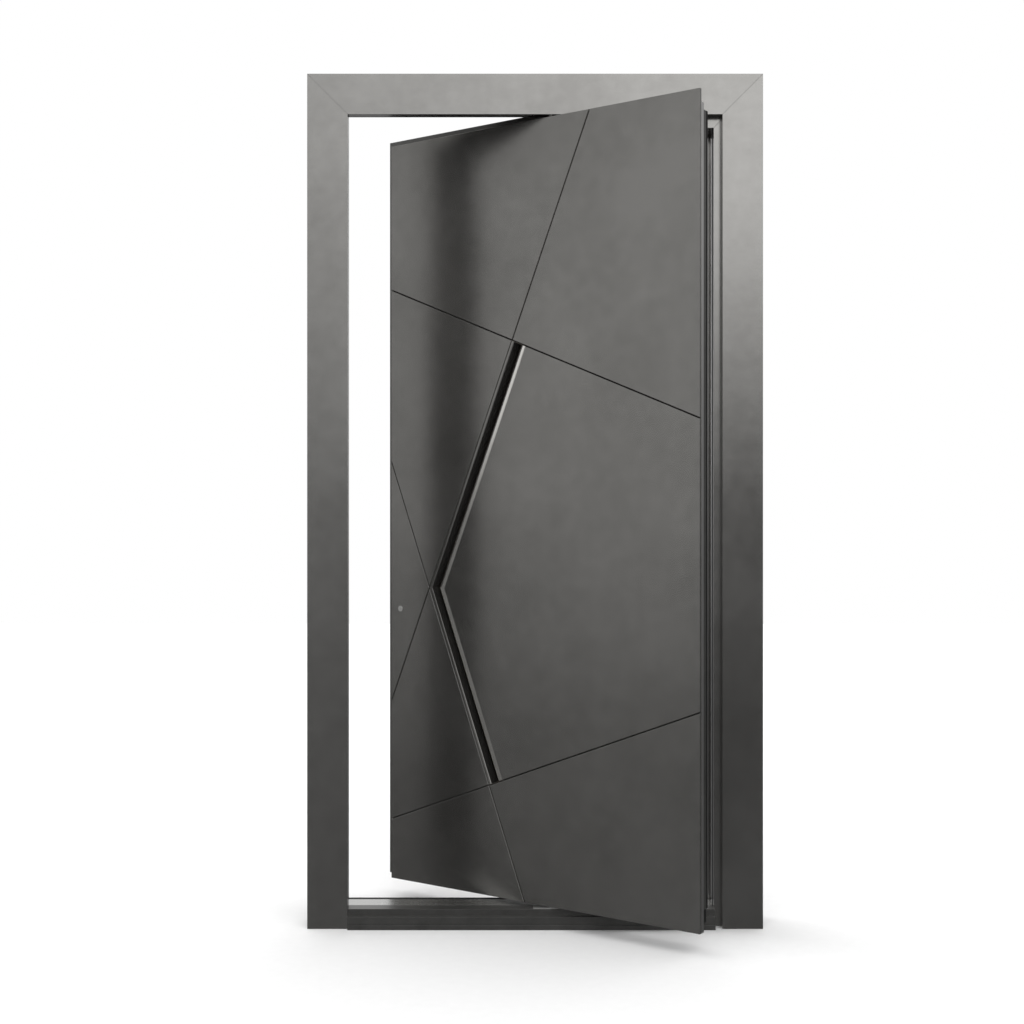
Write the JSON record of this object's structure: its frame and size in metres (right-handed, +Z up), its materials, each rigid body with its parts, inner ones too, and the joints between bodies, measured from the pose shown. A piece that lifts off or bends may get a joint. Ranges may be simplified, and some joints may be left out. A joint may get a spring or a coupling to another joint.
{
  "type": "aluminium pivot door with cased frame",
  "caption": "Tall pivot entrance door standing open: flush grooved leaf with a recessed chevron grip, turning on an offset pivot in a wide cased frame with threshold.",
  "frame": {"origin": "floor level at mid-width of the frame, under the plane of the outside casing face", "axes": "+X along the frame towards the pivot side, +Y from outside to inside, +Z up"},
  "size_m": [1.55, 0.8361, 2.908],
  "materials": {
    "frame_paint": "satin anthracite powder coat",
    "leaf_paint": "satin anthracite metallic coat",
    "dark_profile": "matt dark grey coat",
    "bare_edge": "brushed",
    "grip_lining": "satin dark bronze",
    "seal": "matt",
    "steel": "satin",
    "core_board": "matt foam"
  },
  "bodies": {
    "frame": {"casing_lock": "frame_paint", "casing_pivot": "frame_paint", "casing_head": "frame_paint", "jamb_lock": "frame_paint", "jamb_pivot": "frame_paint", "head_rail": "frame_paint", "stop_jamb_pivot": "frame_paint", "stop_head_pivot": "frame_paint", "stop_seal": "seal", "seal_jamb_lock": "seal", "seal_head_lock": "seal", "inner_casing_lock": "frame_paint", "inner_casing_pivot": "frame_paint", "inner_casing_head": "frame_paint", "threshold_base": "dark_profile", "threshold_nosing": "dark_profile", "threshold_plate": "steel", "threshold_rear_seal": "seal", "strike_plate": "steel", "head_pivot_plate": "steel", "floor_pivot": "steel"},
    "leaf": {"plate_top_lock": "leaf_paint", "plate_top_pivot": "leaf_paint", "plate_upper_lock": "leaf_paint", "plate_wedge": "leaf_paint", "plate_lower_lock": "leaf_paint", "plate_bottom_lock": "leaf_paint", "plate_bottom_pivot": "leaf_paint", "plate_main": "leaf_paint", "grip_outside": "grip_lining", "grip_inside": "grip_lining", "edge_trim": "bare_edge", "sash_stile_lock": "dark_profile", "sash_stile_pivot": "dark_profile", "sash_rail_top_lock": "dark_profile", "sash_rail_top_pivot": "dark_profile", "sash_rail_bottom_lock": "dark_profile", "sash_rail_bottom_pivot": "dark_profile", "leaf_core": "core_board", "leaf_seal_pivot": "seal", "bottom_seal": "seal", "inner_plates": "leaf_paint", "lock_faceplate": "steel", "lock_cylinder": "steel", "cylinder_roses": "steel", "top_pivot": "steel", "bottom_pivot_shoe": "steel"}
  },
  "joints": [
    {"name": "leaf_pivot", "type": "hinge", "parent": "frame", "child": "leaf", "pos_m": [0.054, 0.022, 0.1], "axis": [0, 0, -1], "range_deg": [-34.3, 55.7]}
  ]
}
